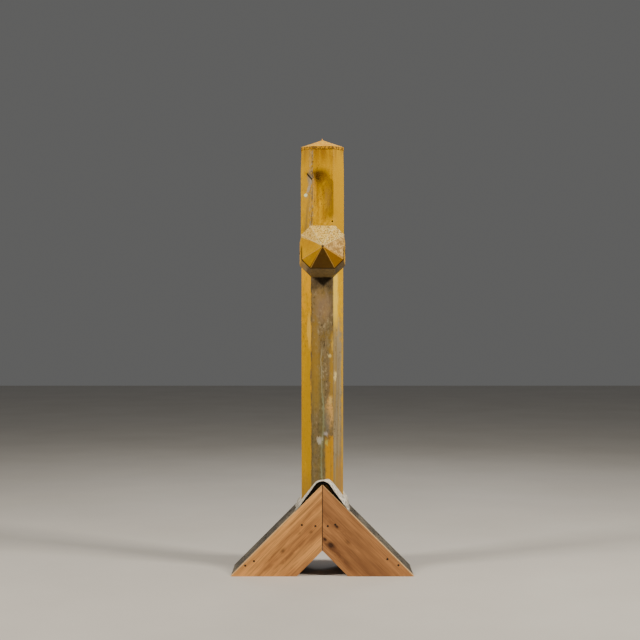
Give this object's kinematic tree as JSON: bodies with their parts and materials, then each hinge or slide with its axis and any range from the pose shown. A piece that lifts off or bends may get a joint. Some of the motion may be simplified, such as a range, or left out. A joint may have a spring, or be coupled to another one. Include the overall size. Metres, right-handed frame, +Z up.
{
  "type": "railway semaphore signal",
  "caption": "Yellow sheet-metal signal mast with one lifting octagonal arm, worked by an internal down rod, on a pitched timber base.",
  "frame": {"origin": "floor level, on the mast's axis, at the centre of the hold-down holes", "axes": "+Z up the mast; -Y along the arm at rest, towards the viewer; +X to the viewer's right"},
  "size_m": [0.85, 0.9375, 2.0461],
  "materials": {
    "yellow_paint": "weathered chalky yellow paint",
    "seam_strip": "worn paint over a folded strip",
    "planed_board": "fresh planed softwood",
    "galvanised_sheet": "dull weathered zinc",
    "white_paint": "chalky off-white paint",
    "bitumen_felt": "dull black felt",
    "carcase_timber": "sawn softwood",
    "bearing_brass": "turned, oiled",
    "forged_iron": "black forged iron",
    "turned_steel": "turned bright steel",
    "rivet_metal": "dull steel with paint traces",
    "steel_fastener": "dull steel"
  },
  "bodies": {
    "mast": {"mast_lower_shell": "yellow_paint", "mast_upper_shell": "yellow_paint", "mast_cap": "yellow_paint", "cap_tip": "yellow_paint", "corner_seam_lower": "seam_strip", "corner_seam_upper": "seam_strip", "lap_rivets": "rivet_metal", "king_post": "carcase_timber", "post_packer_upper": "carcase_timber", "post_packer_lower": "carcase_timber", "king_post_bolts": "steel_fastener", "bearing_plate_left": "forged_iron", "bearing_plate_right": "forged_iron", "bearing_bush_left": "bearing_brass", "bearing_bush_right": "bearing_brass", "bearing_screws_left": "steel_fastener", "bearing_screws_right": "steel_fastener", "rod_guide_upper": "forged_iron", "rod_guide_lower": "forged_iron", "stop_bar": "forged_iron", "front_board_left": "planed_board", "front_board_right": "planed_board", "back_board_left": "planed_board", "back_board_right": "planed_board", "apex_cleat_front": "carcase_timber", "apex_cleat_back": "carcase_timber", "foot_batten_left": "carcase_timber", "foot_batten_right": "carcase_timber", "ridge_purlin_left": "carcase_timber", "ridge_purlin_right": "carcase_timber", "sheathing_left": "carcase_timber", "sheathing_right": "carcase_timber", "apron_sheet_left": "galvanised_sheet", "apron_sheet_right": "galvanised_sheet", "apron_nails": "steel_fastener", "ridge_collar": "white_paint", "ridge_felt": "bitumen_felt", "front_screws": "steel_fastener", "back_screws": "steel_fastener"},
    "arm": {"arm_shell": "yellow_paint", "arm_nose": "yellow_paint", "nose_rivets": "rivet_metal", "arm_former_front": "carcase_timber", "arm_former_rear": "carcase_timber", "arm_stringer_left": "carcase_timber", "arm_stringer_right": "carcase_timber", "stringer_screws": "steel_fastener", "cheek_washer_left": "rivet_metal", "cheek_washer_right": "rivet_metal", "spindle": "turned_steel", "crank": "forged_iron", "crank_taper_pin": "turned_steel", "crank_pin": "turned_steel"},
    "rod": {"down_rod": "turned_steel", "rod_yoke": "forged_iron", "rod_eye": "forged_iron"}
  },
  "joints": [
    {"name": "arm_lift", "type": "hinge", "parent": "mast", "child": "arm", "pos_m": [0, 0, 1.489], "axis": [-1, 0, 0], "range_deg": [0, 45]},
    {"name": "rod_pull", "type": "slide", "parent": "mast", "child": "rod", "axis": [0, 0, -1], "range_m": [0, 0.046]}
  ],
  "couplings": [
    {"joint": "rod_pull", "follows": "arm_lift", "m_per_rad": 0.05847}
  ]
}
